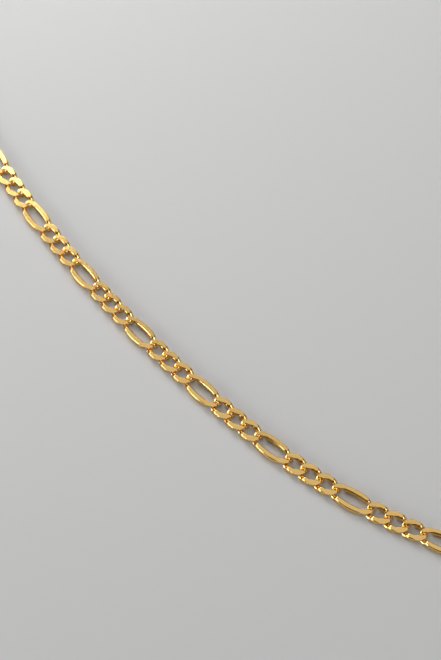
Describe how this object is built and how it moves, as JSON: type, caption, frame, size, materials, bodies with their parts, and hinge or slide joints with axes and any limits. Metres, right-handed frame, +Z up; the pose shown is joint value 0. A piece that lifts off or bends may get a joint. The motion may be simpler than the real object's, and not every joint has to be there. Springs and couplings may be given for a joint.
{
  "type": "figaro chain necklace",
  "caption": "Flat figaro chain necklace of twisted oval links, short and long in turn, closed in a loop by a plain clasp and lying flat.",
  "frame": {"origin": "middle of the loop's box, at the level of the surface that the necklace lies on", "axes": "+X along the loop's long side, +Y towards the side that holds the clasp, +Z up from the surface"},
  "size_m": [0.1803, 0.1005, 0.0031],
  "materials": {
    "gold": "polished yellow gold, with fine lines along the faces that are ground flat"
  },
  "bodies": {
    "root": {"long_links": "gold", "short_links": "gold", "clasp_ring": "gold", "clasp": "gold", "end_ring": "gold"}
  },
  "joints": []
}
